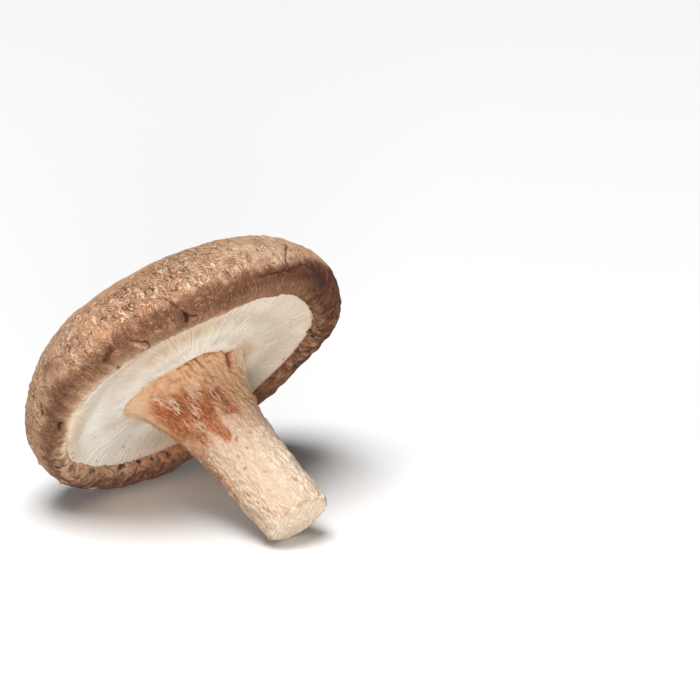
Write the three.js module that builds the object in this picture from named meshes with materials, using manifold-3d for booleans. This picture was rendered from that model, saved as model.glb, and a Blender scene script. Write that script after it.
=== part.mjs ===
// A fresh shiitake mushroom, whole, as picked: a domed cap whose margin rolls in around a flat gill face,
// and a stem that widens into a collar where it meets the gills and ends in a plain cut.
// It lies as such a mushroom comes to rest by itself, on the rim of its cap and the edge of its cut stem.
// Millimetres, +Z up. The stem points towards -Y and down. The origin is the middle of its footprint.
import * as THREE from 'three';
import { mergeVertices } from 'three/addons/utils/BufferGeometryUtils.js';
import Module from 'manifold-3d';

// The cap, measured from its gill face: depths count away from the stem.
const CAP_RADIUS = 33.4;
const CAP_DEPTH = 19.4;         // crown to gill face
const WIDEST_DEPTH = 2.9;       // the cap's widest line lies this deep
const LIP_RADIUS = 29.1;        // crest of the rolled margin
const LIP_HEIGHT = 2.3;         // the crest stands this proud of the gill face
const GILL_RADIUS = 27.1;
const CROWN_SHIFT = { side: -0.5, up: -0.5 };

// The rim is not a true circle, and the margin is wavy. Each wave goes a whole number of times round the
// rim; its size is a share of the radius, or a height towards the stem, and its peak is a direction in
// degrees from the side direction towards up.
const RIM_LOBES = [
  { waves: 2, size: 0.012, peak: 111 },
  { waves: 3, size: 0.006, peak: -2 },
  { waves: 4, size: 0.009, peak: 60 },
  { waves: 5, size: 0.009, peak: 21 },
];
const MARGIN_WAVES = [
  { waves: 2, size: 1.8, peak: 87.5 },
  { waves: 3, size: 0.9, peak: 11 },
  { waves: 4, size: 0.7, peak: 18 },
];
const MARGIN_STIFFNESS = 4;     // how fast the waves die out towards the middle of the cap

// The stem, measured along the cap's axis from the gill face.
const STEM_LENGTH = 34.8;
const STEM_TOP_RADIUS = 7.4;
const STEM_CUT_RADIUS = 6.6;
const STEM_ROOT = 5.0;          // length of stem that runs on into the cap's flesh
const STEM_TOP = { side: -1.1, up: -1.6 };
const STEM_FOOT = { side: 4.1, up: -0.6 };
const COLLAR_LONG = 12.9;       // half lengths of the oval collar on the gill face
const COLLAR_SHORT = 7.7;
const COLLAR_TURN = 18.5;       // degrees from the side direction to the oval's long axis
const COLLAR_SHARPNESS = 4.5;   // how soon the collar narrows to the stem
const CUT_SLOPE = { side: 0.03, up: 0.03 };

// How it lies.
const STEM_DIP = 37.7;          // degrees that the cap's axis points below the horizontal
const PRESSED_FLAT = 0.45;      // height of flesh lost to the flats that it rests on

// Fineness of the surface.
const CAP_SECTORS = 84;
const DOME_STEPS = 17;
const MARGIN_STEPS = 6;
const INNER_STEPS = 4;
const GILL_STEPS = 5;
const STEM_SECTORS = 44;
const STEM_STEPS = 16;

const SKIN_COLOUR = 0xa67c58;
const SKIN_ROUGHNESS = 0.85;
const BLOCK = 200;              // side of the block that stands for the table under the mushroom

const rad = THREE.MathUtils.degToRad;

// The mushroom's own directions: across the stem, up the gill face, and along the axis to the stem's foot.
const SIDE = new THREE.Vector3(1, 0, 0);
const AXIS = new THREE.Vector3(0, -Math.cos(rad(STEM_DIP)), -Math.sin(rad(STEM_DIP)));
const UP = new THREE.Vector3(0, -Math.sin(rad(STEM_DIP)), Math.cos(rad(STEM_DIP)));

// Sum of a set of waves in a direction, in radians from side towards up.
function sumOf(set, direction) {
  return set.reduce(
    (sum, { waves, size, peak }) => sum + size * Math.cos(waves * (direction - rad(peak))),
    0,
  );
}

// Half width of the oval collar in a direction.
function collarRadius(direction) {
  const turned = direction - rad(COLLAR_TURN);
  return (
    (COLLAR_LONG * COLLAR_SHORT) /
    Math.hypot(COLLAR_SHORT * Math.cos(turned), COLLAR_LONG * Math.sin(turned))
  );
}

// A turned solid whose points are then moved by reshape({ radius, direction, along }), which returns
// the point's place as side, up and along.
function turned(profile, sectors, reshape) {
  const geometry = new THREE.LatheGeometry(profile, sectors);
  const places = geometry.getAttribute('position');
  const point = new THREE.Vector3();
  for (let i = 0; i < places.count; i++) {
    point.fromBufferAttribute(places, i);
    const moved = reshape({
      radius: Math.hypot(point.x, point.z),
      direction: Math.atan2(point.x, point.z),
      along: point.y,
    });
    point
      .set(0, 0, 0)
      .addScaledVector(SIDE, moved.side)
      .addScaledVector(UP, moved.up)
      .addScaledVector(AXIS, moved.along);
    places.setXYZ(i, point.x, point.y, point.z);
  }
  return geometry;
}

// Half section of the cap, from the crown over the dome and the rolled margin to the gill face.
function capProfile() {
  const quarter = Math.PI / 2;
  const dome = new THREE.EllipseCurve(
    0, -WIDEST_DEPTH, CAP_RADIUS, CAP_DEPTH - WIDEST_DEPTH, -quarter, 0,
  );
  const margin = new THREE.EllipseCurve(
    LIP_RADIUS, -WIDEST_DEPTH, CAP_RADIUS - LIP_RADIUS, WIDEST_DEPTH + LIP_HEIGHT, 0, quarter,
  );
  const inner = new THREE.EllipseCurve(
    LIP_RADIUS, 0, LIP_RADIUS - GILL_RADIUS, LIP_HEIGHT, quarter, 2 * quarter,
  );
  const gills = new THREE.LineCurve(new THREE.Vector2(GILL_RADIUS, 0), new THREE.Vector2(0, 0));
  const points = [
    ...dome.getPoints(DOME_STEPS),
    ...margin.getPoints(MARGIN_STEPS).slice(1),
    ...inner.getPoints(INNER_STEPS).slice(1),
    ...gills.getPoints(GILL_STEPS).slice(1),
  ];
  points[0].x = 0;
  return points;
}

function capGeometry() {
  return turned(capProfile(), CAP_SECTORS, ({ radius, direction, along }) => {
    const reach = radius * (1 + sumOf(RIM_LOBES, direction));
    const nearRim = (radius / CAP_RADIUS) ** MARGIN_STIFFNESS;
    const crown = THREE.MathUtils.clamp(
      (-WIDEST_DEPTH - along) / (CAP_DEPTH - WIDEST_DEPTH), 0, 1,
    );
    return {
      side: reach * Math.cos(direction) + crown * CROWN_SHIFT.side,
      up: reach * Math.sin(direction) + crown * CROWN_SHIFT.up,
      along: along + nearRim * sumOf(MARGIN_WAVES, direction),
    };
  });
}

// Half section of the stem as shares of its radius, closer together where the collar narrows fastest.
function stemProfile() {
  const points = [
    new THREE.Vector2(0, -STEM_ROOT),
    new THREE.Vector2(1, -STEM_ROOT),
  ];
  for (let i = 0; i <= STEM_STEPS; i++) {
    const share = i / STEM_STEPS;
    points.push(new THREE.Vector2(1, STEM_LENGTH * share * (0.5 + 0.5 * share)));
  }
  points.push(new THREE.Vector2(0, STEM_LENGTH));
  return points;
}

function stemGeometry() {
  return turned(stemProfile(), STEM_SECTORS, ({ radius, direction, along }) => {
    const down = THREE.MathUtils.clamp(along / STEM_LENGTH, 0, 1);
    const plain = THREE.MathUtils.lerp(STEM_TOP_RADIUS, STEM_CUT_RADIUS, down);
    const flare = (collarRadius(direction) - plain) * (1 - down) ** COLLAR_SHARPNESS;
    const reach = radius * (plain + flare);
    const side = reach * Math.cos(direction);
    const up = reach * Math.sin(direction);
    return {
      side: THREE.MathUtils.lerp(STEM_TOP.side, STEM_FOOT.side, down) + side,
      up: THREE.MathUtils.lerp(STEM_TOP.up, STEM_FOOT.up, down) + up,
      along: along - down * (CUT_SLOPE.side * side + CUT_SLOPE.up * up),
    };
  });
}

const wasm = await Module();
wasm.setup();

// A closed geometry as a solid that can be joined and cut.
function solidOf(geometry) {
  geometry.deleteAttribute('normal');
  geometry.deleteAttribute('uv');
  const merged = mergeVertices(geometry, 1e-4);
  const corners = [];
  const index = merged.index.array;
  for (let i = 0; i < index.length; i += 3) {
    const [a, b, c] = index.slice(i, i + 3);
    if (a !== b && b !== c && c !== a) corners.push(a, b, c);
  }
  return new wasm.Manifold(
    new wasm.Mesh({
      numProp: 3,
      vertProperties: merged.getAttribute('position').array,
      triVerts: new Uint32Array(corners),
    }),
  );
}

function geometryOf(solid) {
  const { vertProperties, triVerts } = solid.getMesh();
  const geometry = new THREE.BufferGeometry();
  geometry.setAttribute('position', new THREE.BufferAttribute(vertProperties, 3));
  geometry.setIndex(new THREE.BufferAttribute(triVerts, 1));
  return geometry;
}

// The cap's rim and the stem's cut edge are pressed flat where they touch the table.
function restOnTable(solid) {
  const lowest = solid.boundingBox().min[2];
  const top = lowest + PRESSED_FLAT;
  const table = new THREE.BoxGeometry(BLOCK, BLOCK, BLOCK).translate(0, 0, top - BLOCK / 2);
  return solid.subtract(solidOf(table));
}

function mushroomGeometry() {
  const whole = solidOf(capGeometry()).add(solidOf(stemGeometry()));
  const geometry = geometryOf(restOnTable(whole));
  geometry.computeBoundingBox();
  const { min, max } = geometry.boundingBox;
  return geometry.translate(-(min.x + max.x) / 2, -(min.y + max.y) / 2, -min.z);
}

function skinMaterial() {
  return new THREE.MeshStandardMaterial({
    color: SKIN_COLOUR,
    roughness: SKIN_ROUGHNESS,
    metalness: 0,
  });
}

const mushroom = new THREE.Mesh(mushroomGeometry(), skinMaterial());
mushroom.name = 'shiitake_mushroom';

const shiitake = new THREE.Group();
shiitake.add(mushroom);

export default shiitake;
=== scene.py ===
"""A fresh shiitake mushroom, whole, lying on the rim of its cap and the edge of its cut stem."""
import math

import bpy
import numpy as np
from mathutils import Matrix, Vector, noise


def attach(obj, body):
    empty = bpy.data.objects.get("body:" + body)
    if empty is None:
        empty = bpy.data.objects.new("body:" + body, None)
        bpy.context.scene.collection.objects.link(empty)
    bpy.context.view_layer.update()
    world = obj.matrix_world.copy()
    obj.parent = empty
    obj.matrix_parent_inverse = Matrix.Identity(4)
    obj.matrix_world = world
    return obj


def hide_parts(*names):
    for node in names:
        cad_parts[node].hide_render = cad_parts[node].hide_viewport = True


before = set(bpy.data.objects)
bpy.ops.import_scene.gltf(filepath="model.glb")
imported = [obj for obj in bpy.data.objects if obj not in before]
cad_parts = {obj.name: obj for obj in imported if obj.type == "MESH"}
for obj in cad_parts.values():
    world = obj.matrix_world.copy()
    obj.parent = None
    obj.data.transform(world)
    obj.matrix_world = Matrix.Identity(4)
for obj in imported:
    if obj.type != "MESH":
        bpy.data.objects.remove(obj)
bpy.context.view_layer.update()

bpy.ops.object.select_all(action="DESELECT")
chance = np.random.default_rng(11)

# ------------------------
# Creases, pits and cracks on the skin are laid dark as painted shade, ridges pale as painted highlight.
# The cap's flesh and skin: one closed body, a dome whose margin rolls in around the gills.
# The skin is dry, fawn and fibrous, dark brown on the rolled margin, wrinkled and cracked next to it.
# Millimetres from the middle of the gill face: across, up the face, and along the axis to the foot.
MM = 0.001
STEM_DIP = math.radians(37.7)
GILL_CENTRE = np.array([-0.054, 2.624, 26.649])
SIDE = np.array([1, 0, 0])
AXIS = np.array([0, -math.cos(STEM_DIP), -math.sin(STEM_DIP)])
UP = np.array([0, -math.sin(STEM_DIP), math.cos(STEM_DIP)])

CAP_RADIUS = 33.4
CAP_DEPTH = 19.4
WIDEST_DEPTH = 2.9
LIP_RADIUS = 29.1
LIP_HEIGHT = 2.3
GILL_RADIUS = 27.1
GILL_BED = 1.2  # the blades stand this tall on the flesh
CROWN_SHIFT = (-0.5, -0.5)
MARGIN_STIFFNESS = 4
# Each wave: times round the rim, size, direction of its peak in degrees.
RIM_LOBES = ((2, 0.012, 111), (3, 0.006, -2), (4, 0.009, 60), (5, 0.009, 21))
MARGIN_WAVES = ((2, 1.8, 87.5), (3, 0.9, 11), (4, 0.7, 18))
# How much further in the lip's inner side stands, and how much further out the rim, at some directions.
SWELL_TURNS = (-165, -150, -130, -105, -85, -60, -25, 0, 25, 50, 75, 95, 130, 150, 172)
SWELLS = (0.0, -0.8, 0.1, 1.6, 2.4, 2.6, 2.6, 2.0, 1.1, 1.2, 0.4, 0.0, 0.2, 1.0, 0.6)
RIM_TURNS = (-165, -148, -125, 110, 135, 155, 178)
RIM_SHIFTS = (-0.4, 0.4, 0.0, 0.0, -0.5, -0.9, -1.1)

CAP_SECTORS = 760
DOME_SPACING = 0.9  # between rings on the plain dome
MARGIN_SPACING = 0.31  # between rings on the margin and the skin above it
MARGIN_START = 16  # the close rings start this far above the widest line
BED_RINGS = 6
CURVE_POINTS = 400  # on each curve of the half section
SEED_STEP = 37.7  # how far apart in the noise two seeds lie
SLOPE_STEP = 0.05  # run of the skin over which its slope is measured


def waves(kinds, direction):
    return sum(size * np.cos(count * (direction - math.radians(peak))) for count, size, peak in kinds)


def between(direction, turns, values):
    """The value at each direction, from values at some directions in degrees."""
    return np.interp(np.degrees(direction), turns, values, period=360)


def eased(value, low, high):
    """0 below low, 1 above high, with a smooth step between."""
    share = np.clip((value - low) / (high - low), 0, 1)
    return share * share * (3 - 2 * share)


def around(radius, direction, along):
    """A row for each place that lies so far from the axis, in a direction, and so far along it."""
    return np.stack(np.broadcast_arrays(radius * np.cos(direction), radius * np.sin(direction), along), -1)


def bumps(places, size, seed):
    """Soft noise, about -1 to 1, with bumps of this size at each row of places."""
    return np.array([noise.noise(spot) for spot in (places / np.asarray(size) + SEED_STEP * seed).tolist()])


def stirred(places, size, reach, seeds):
    """The places moved about by up to reach, in curls of this size."""
    return places + reach * np.stack([bumps(places, size, seed) for seed in seeds], -1)


def cells(places, size, key):
    """How far each place is from the middle of its own small cell, and a number drawn for the cell."""
    near = [noise.voronoi(spot) for spot in (places / np.asarray(size)).tolist()]
    gap = np.array([found[0][0] for found in near])
    return gap, np.array([noise.cell(found[1][0] * key) for found in near])


def placed(side, up, along):
    """The point in the frame, in metres. Nothing reaches below the table."""
    spot = GILL_CENTRE + side[..., None] * SIDE + up[..., None] * UP + along[..., None] * AXIS
    spot[..., 2] = np.maximum(spot[..., 2], 0)
    return spot * MM


def cap_section():
    """Half section from the crown to the middle of the gill bed: rows of radius, along, and arc so far."""
    turn = np.linspace(0, math.pi / 2, CURVE_POINTS)
    dome_depth = CAP_DEPTH - WIDEST_DEPTH
    dome = np.stack([CAP_RADIUS * np.sin(turn), -WIDEST_DEPTH - dome_depth * np.cos(turn)], 1)
    margin = np.stack([LIP_RADIUS + (CAP_RADIUS - LIP_RADIUS) * np.cos(turn),
                       -WIDEST_DEPTH + (WIDEST_DEPTH + LIP_HEIGHT) * np.sin(turn)], 1)
    inner_depth = LIP_HEIGHT + GILL_BED
    inner = np.stack([LIP_RADIUS - (LIP_RADIUS - GILL_RADIUS) * np.sin(turn),
                      -GILL_BED + inner_depth * np.cos(turn)], 1)
    bed = np.array([[GILL_RADIUS, -GILL_BED], [0, -GILL_BED]])
    line = np.concatenate([dome, margin[1:], inner[1:], bed[1:]])
    arc = np.r_[0, np.cumsum(np.hypot(*np.diff(line, axis=0).T))]
    equator = arc[CURVE_POINTS - 1]
    foot = arc[3 * CURVE_POINTS - 3]
    stops = np.r_[np.arange(0, equator - MARGIN_START, DOME_SPACING),
                  np.arange(equator - MARGIN_START, foot, MARGIN_SPACING),
                  np.linspace(foot, arc[-1], BED_RINGS)]
    rows = np.stack([np.interp(stops, arc, line[:, 0]), np.interp(stops, arc, line[:, 1]), stops], 1)
    rows[0, 0] = rows[-1, 0] = 0
    return rows, equator, foot


SECTION, EQUATOR, WALL_FOOT = cap_section()


def shown(name, mesh):
    """The mesh as a new piece, selected and active."""
    piece = bpy.data.objects.new(name, mesh)
    bpy.context.collection.objects.link(piece)
    bpy.context.view_layer.objects.active = piece
    piece.select_set(True)
    return piece


def spun(name, rows, sectors):
    """A half section turned into a closed body, with the direction and the row of each of its vertices."""
    mesh = bpy.data.meshes.new(name)
    mesh.from_pydata([(radius, 0, height) for radius, height in rows],
                     [(i, i + 1) for i in range(len(rows) - 1)], [])
    piece = shown(name, mesh)
    bpy.ops.object.mode_set(mode="EDIT")
    bpy.ops.mesh.select_all(action="SELECT")
    bpy.ops.mesh.spin(steps=sectors, angle=2 * math.pi, center=(0, 0, 0), axis=(0, 0, 1))
    bpy.ops.mesh.select_all(action="SELECT")
    bpy.ops.mesh.remove_doubles(threshold=1e-4)
    bpy.ops.mesh.normals_make_consistent(inside=False)
    bpy.ops.object.mode_set(mode="OBJECT")
    bpy.ops.object.shade_smooth()
    piece.select_set(False)
    spots = np.empty(len(mesh.vertices) * 3)
    mesh.vertices.foreach_get("co", spots)
    x, y, height = spots.reshape(-1, 3).T
    radius = np.hypot(x, y)
    row = np.array([abs(rows - spot).sum(1).argmin() for spot in zip(radius, height)])
    return piece, np.arctan2(y, x), row


def turned_from(direction, middle):
    """How far the direction is from the middle one, from -180 to 180 degrees."""
    return (np.degrees(direction) - middle + 180) % 360 - 180


def groove(direction, arc, stops, width):
    """1 in the middle of a groove through stops of direction in degrees and arc, falling to 0 beside it."""
    near = np.full(direction.shape, np.inf)
    scale = math.radians(CAP_RADIUS)
    for (start_turn, start_arc), (end_turn, end_arc) in zip(stops, stops[1:]):
        run = np.array([(end_turn - start_turn) * scale, end_arc - start_arc])
        offset = np.stack([turned_from(direction, start_turn) * scale, arc - start_arc], -1)
        share = np.clip(offset @ run / (run @ run), 0, 1)
        near = np.minimum(near, np.hypot(*(offset - share[..., None] * run).T))
    return np.exp(-(near / width) ** 2)


def lobe(direction, middle, reach):
    """1 in the middle direction, falling smoothly to 0 at reach, in degrees."""
    return 1 - eased(abs(turned_from(direction, middle)), 0, reach)


CRACKS = (  # places of direction and arc, width, depth
    (((66, 35.6), (69, 37.6), (76.5, 41.3), (76, 43.6)), 0.2, 0.5),
    (((90, 42.9), (83, 43.2), (76, 43.5), (68, 42.6), (60, 43.2)), 0.25, 0.25),
    (((121.5, 38.9), (120, 40.6), (118.8, 43.6)), 0.17, 0.25),
    (((118.2, 43.8), (119, 45.6)), 0.5, 1.3),
    (((119, 43.9), (117, 44.6), (115, 45.0)), 0.22, 0.35),
    (((138, 43.9), (134.5, 45.4), (134, 46.9), (137.5, 47.6)), 0.24, 0.24),
    (((104.5, 34.4), (105.6, 37.3)), 0.15, 0.3),
    (((107.5, 29.5), (109, 33), (110, 36)), 0.18, 0.2),
    (((111, 26.5), (113, 30), (115, 34.8)), 0.16, 0.15),
    (((117, 25), (118, 29), (120, 34.8)), 0.16, 0.15),
    (((112, 36.8), (111, 38.6), (110, 40.4)), 0.2, 0.2),
    (((165.5, 38.0), (161.5, 38.8), (157.5, 39.8)), 0.16, 0.2),
    (((-175, 40.9), (-173, 41.1), (-171, 41.8)), 0.32, 0.6),
    (((-173, 45.7), (-168, 45.9)), 0.34, 0.9),
    (((146, 43.8), (149.5, 44.5)), 0.8, 0.2),
    (((60, 43.0), (52, 45.0)), 1.3, 0.35),
    (((44, 41.0), (38, 43.0)), 0.6, 0.35),
    (((31, 39.5), (27, 41.5), (24, 44.0)), 0.26, 0.45),
    (((-8, 38.0), (-4, 40.5), (-6, 43.0)), 0.26, 0.45),
    (((-62, 37.0), (-66, 39.5), (-64, 42.0)), 0.26, 0.4),
)
SMALL_PITS = (  # places of direction and arc
    (91.5, 33.6), (99.5, 36), (103.5, 37.1), (111, 34.8), (98.5, 40.9), (108, 24.9), (56, 46.4), (61, 42.9),
    (95, 31), (88, 30), (122, 33), (126, 31.5), (84, 37), (133, 34), (146, 33), (152, 36),
)
LIP_PITS = (
    (149, 47.6), (-149, 43.8), (-148, 45.1), (-154, 43.1), (-144, 46.3), (-123.5, 49.3), (-121.5, 49.6),
    (-105.5, 50.0), (-104, 50.2), (-96, 50.2), (-89.5, 49.9), (-82, 49.2),
)
SMALL_PIT = 0.22  # reach of a pit
LIP_PIT = 0.42
# Dark streaks on the plain skin: how dark, places of direction and arc, width.
STREAKS = ((0.65, ((172, 37.0), (165, 40.0)), 2.4), (0.45, ((152, 39.2), (147, 40.8)), 1.6))
SCALES = (  # torn up scales and knots: direction, arc, width, height
    (-130.5, 44.5, 0.34, 0.7), (-153, 39.1, 0.3, 0.6), (172, 33.6, 0.3, 0.6), (-170.5, 42.5, 0.4, 0.3),
    (137.6, 45.2, 0.3, 0.4), (136.6, 45.7, 0.26, 0.3), (136, 46.4, 0.3, 0.45), (135.1, 46.9, 0.24, 0.3),
    (-140, 41.5, 0.3, 0.4), (160, 30.5, 0.3, 0.4),
    (1.5, 39.1, 0.4, 0.3), (-159, 48.6, 0.6, 0.3), (-133, 48.4, 0.5, 0.3),
)

# Where the margin is darkest: how far past its edge, at some directions.
CORE_TURNS = (-163, -142, -110, -60, 0, 60, 110, 150, 175)
CORE_PLACES = (4.3, 5.6, 4.6, 3.2, 3.0, 3.5, 2.8, 2.7, 3.0)

# The skin's relief: height, size and seed of its broad bumps, then heights and depths.
SKIN_BUMPS = ((0.34, 9, 12), (0.20, 3.2, 13), (0.13, 1.6, 20))
FOLD_HEIGHT = 0.5
CREASE_DEPTH = 0.12
PIT_DEPTH = 0.34
SCAB_DEPTH = 0.22


def skin_relief(direction, arc, spot):
    """Height of the skin over the plain cap, and its areas, each 0 to 1."""
    def toward(middle, reach):
        return lobe(direction, middle, reach)

    # Places that run on along the section, for fibres that point at the stem.
    skin = around(CAP_RADIUS, direction, arc)
    past = arc - EQUATOR
    on_skin = 1 - eased(arc, WALL_FOOT - 1.2, WALL_FOOT - 0.4)
    under = toward(-100, 75)
    russet = toward(32, 95)
    ragged = 1.2 * bumps(skin, (5, 5, 9), 1) + 0.8 * bumps(skin, (1.1, 1.1, 5), 2)
    core_at = between(direction, CORE_TURNS, CORE_PLACES)
    inward = past - core_at + 0.7 * ragged
    early = russet + 1.2 * under + 1.5 * toward(112, 24) - 1.6 * toward(156, 16) - 1.1 * toward(77, 20)
    dusky = np.maximum.reduce([share * groove(direction, arc, *streak) for share, *streak in STREAKS])
    dark = np.maximum(eased(inward + early, -4.2, 0.4), dusky)
    core = dark * (1 - 0.8 * eased(inward, 0.2, 2.6))

    # Beside the margin the skin lies in short curled folds with sharp creases between them.
    wrinkled = eased(past + 6 * toward(95, 60), -13, -6) * (1 - 0.6 * dark)
    wrinkled = wrinkled * (0.65 + 0.35 * toward(125, 90)) * (1 - 0.6 * under * dark)
    wrinkled = wrinkled * (0.4 + 0.6 * eased(bumps(spot, 5, 7), -0.5, 0.1))
    folded = np.maximum(wrinkled, toward(14, 56) ** 0.7 * eased(past, 0, 3))
    curled = stirred(skin, 3.6, 1.3, (3, 4, 5))
    clotted = toward(12, 60) * eased(past, -1, 3)
    fold = (1 - clotted) * bumps(curled, (1.05, 1.05, 2.5), 14) + clotted * bumps(spot, 1.7, 27)
    sharp = eased(bumps(spot, 1.9, 8), -0.25, 0.25) * (1 - clotted)
    fold_height = sharp * abs(fold) + (1 - sharp) * (0.25 + 0.5 * fold)
    # Crease and ridge also tint the skin: painted shade in the creases, painted highlight on the ridges.
    crease = (1 - eased(abs(fold), 0.015, 0.14)) * sharp * folded
    ridge = eased(fold_height, 0.26, 0.46) * folded
    fine = (1 - clotted) * bumps(curled, (0.75, 0.75, 1.6), 6) + clotted * bumps(spot, 0.95, 28)

    fibre = bumps(skin, (0.62, 0.62, 5), 9) + 0.6 * bumps(skin, (0.45, 0.45, 3), 10)
    combed = eased(bumps(spot, 4.5, 16), -0.35, 0.3)
    lip = eased(past, 3.5, 7)
    knobs = bumps(spot, 1.9, 11) + 0.6 * bumps(spot, 1.0, 19)

    gap, pick = cells(spot, 2.7, 5.3)
    pit = (1 - eased(gap, 0.06, 0.17)) * (abs(pick) > 0.45)
    pit = pit * (1 - 0.85 * eased(-past, 9, 18)) * (1 - 0.5 * dark)

    # Nothing torn is straight: these lines wander a little.
    torn_turn = direction + 0.012 * bumps(skin, 1.5, 25)
    torn_arc = arc + 0.4 * bumps(skin, 1.5, 26)
    for pits, width in ((SMALL_PITS, SMALL_PIT), (LIP_PITS, LIP_PIT)):
        for turn, place in pits:
            stops = ((turn, place - 0.1), (turn, place + 0.1))
            pit = np.maximum(pit, groove(torn_turn, torn_arc, stops, width))

    cut, depth, scale, raised = np.zeros((4, *direction.shape))
    for stops, width, deep in CRACKS:
        here = groove(torn_turn, torn_arc, stops, width)
        cut = np.maximum(cut, here * min(1, 0.4 + deep))
        depth = np.maximum(depth, deep * here)
    for turn, place, width, tall in SCALES:
        here = groove(torn_turn, torn_arc, ((turn, place - 0.15), (turn, place + 0.15)), width)
        scale = np.maximum(scale, here)
        raised = np.maximum(raised, tall * here)

    scab = eased(bumps(spot, 1.2, 17), 0.15, 0.4) * under * eased(past, 5, 7)
    height = (sum(tall * bumps(spot, size, seed) for tall, size, seed in SKIN_BUMPS)
              + FOLD_HEIGHT * folded * (fold_height - 0.2) - CREASE_DEPTH * crease
              + (0.02 + 0.14 * folded) * fine
              + (0.03 + 0.07 * dark * combed) * (1 - 0.8 * clotted) * fibre
              + (0.14 + 0.14 * under + 0.16 * toward(8, 60)) * lip * knobs
              + raised - PIT_DEPTH * pit - SCAB_DEPTH * scab - depth)
    # Pits, cracks and scabs are laid dark brown in the shader: painted shade in these hollows.
    furrow = np.clip(0.85 * pit + cut + 0.35 * scab, 0, 1)
    pale = toward(80, 34) * eased(past, -14, -3) + 0.35 * eased(bumps(spot, 4, 15), 0.1, 0.6)
    pale = np.clip(pale + scale, 0, 1)
    tan = toward(-172, 56) ** 0.5 * eased(past - core_at + 0.9 * ragged, 1.9, 4.0)
    islands = eased(bumps(spot, 1.2, 18), -0.3, 0.15)
    tan = tan + 0.8 * toward(-140, 38) * eased(past + 0.8 * ragged, 4.5, 6.5) * islands
    tan = np.clip(tan + 0.7 * toward(118, 46) * eased(past + 0.7 * ragged, 5.2, 7.6) + 0.7 * scale, 0, 1)
    tan = np.maximum(tan, 0.6 * toward(-116, 46) * eased(past + 0.5 * ragged, 7.4, 9.0))
    flecks = toward(8, 52) * eased(past, 6.4, 8.4) * eased(bumps(spot, 0.9, 30), 0.0, 0.35)
    tan = np.maximum(tan, 0.45 * flecks)
    creamy = toward(168, 58) ** 0.5 * eased(past, 6.0, 8.0)
    baked = toward(-78, 34) * under * eased(past, 7, 9)
    mottled = eased(past, 6.0, 8.0) * eased(bumps(spot, 1.6, 29), -0.3, 0.1)
    burnt = russet * (1 - 0.75 * toward(78, 42) * eased(past, 3.6, 5.6)) * (1 - 0.78 * mottled)
    return height * on_skin, dict(
        baked=baked, furrow=furrow * on_skin, dark=dark, core=core, wrinkled=folded, crease=crease,
        ridge=ridge, pale=pale, tan=tan, under=under, russet=burnt, creamy=creamy)


def bent(radius, direction, along):
    """The point in the frame of a place on an even cap, bent as this cap grew."""
    reach = radius * (1 + waves(RIM_LOBES, direction))
    crown = np.clip((-WIDEST_DEPTH - along) / (CAP_DEPTH - WIDEST_DEPTH), 0, 1)
    side = reach * np.cos(direction) + crown * CROWN_SHIFT[0]
    up = reach * np.sin(direction) + crown * CROWN_SHIFT[1]
    along = along + (radius / CAP_RADIUS) ** MARGIN_STIFFNESS * waves(MARGIN_WAVES, direction)
    return placed(side, up, along)


def on_section(arc):
    """Radius and place along the axis, at this arc."""
    return (np.interp(arc, SECTION[:, 2], SECTION[:, column]) for column in (0, 1))


def cap_point(direction, arc, lift=0):
    """A point of the skin, raised by lift, with what skin_relief says of it."""
    radius, along = on_section(arc)
    next_radius, next_along = on_section(arc + SLOPE_STEP)
    slope_out, slope_on = next_radius - radius, next_along - along
    length = np.hypot(slope_out, slope_on) + 1e-9
    height, areas = skin_relief(direction, arc, around(radius, direction, along))
    height = height + lift
    past = arc - EQUATOR
    radius = radius - between(direction, SWELL_TURNS, SWELLS) * eased(past, 4, 8)
    outer = eased(radius, 20, 32) * (1 - eased(past, 5, 9))
    radius = radius + between(direction, RIM_TURNS, RIM_SHIFTS) * outer
    radius = radius + height * slope_on / length
    along = along - height * slope_out / length
    return bent(radius, direction, along), areas


def moved(piece, places):
    piece.data.vertices.foreach_set("co", np.ascontiguousarray(places, np.float32).ravel())
    piece.data.update()


def painted(piece, **areas):
    """Gives the piece an attribute for each area: a number or a place for each vertex."""
    for name, values in areas.items():
        values = np.ascontiguousarray(values, np.float32)
        kind, field = ("FLOAT", "value") if values.ndim == 1 else ("FLOAT_VECTOR", "vector")
        piece.data.attributes.new(name, kind, "POINT").data.foreach_set(field, values.ravel())


cap, direction, row = spun("cap", SECTION[:, :2], CAP_SECTORS)
arc = SECTION[row, 2]
direction[SECTION[row, 0] == 0] = 0
places, areas = cap_point(direction, arc)
moved(cap, places)
painted(cap, past_edge=arc - EQUATOR, flesh=eased(arc, WALL_FOOT - 0.9, WALL_FOOT - 0.3),
        skin=around(CAP_RADIUS, direction, arc) * MM, **areas)


def feed(node, inputs):
    """Gives each of these sockets of the node its value, or its link."""
    for name, value in inputs.items():
        if isinstance(value, Value):
            node.id_data.links.new(value.socket, node.inputs[name])
        else:
            node.inputs[name].default_value = value


def made(tree, kind, settings, inputs, output=0):
    """A new node, with its settings made first, and what comes out of one of its sockets."""
    node = tree.nodes.new(kind)
    for name, value in settings.items():
        setattr(node, name, value)
    feed(node, inputs)
    return Value(node.outputs[output])


class Value:
    """What varies over a surface. Sums on it add nodes to its material."""

    def __init__(self, socket):
        self.socket = socket

    def sum(self, operation, first, second):
        return made(self.socket.id_data, "ShaderNodeMath", {"operation": operation}, {0: first, 1: second})

    def step(self, low, high):
        """0 below low, 1 above high, with a smooth step between."""
        return made(self.socket.id_data, "ShaderNodeMapRange", {"interpolation_type": "SMOOTHSTEP"},
                    {"Value": self, "From Min": low, "From Max": high})

    def __add__(self, other):
        return self.sum("ADD", self, other)

    __radd__ = __add__

    def __sub__(self, other):
        return self.sum("SUBTRACT", self, other)

    def __rsub__(self, other):
        return self.sum("SUBTRACT", other, self)

    def __mul__(self, other):
        return self.sum("MULTIPLY", self, other)

    __rmul__ = __mul__

    def __abs__(self):
        return self.sum("ABSOLUTE", self, 0)


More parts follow.
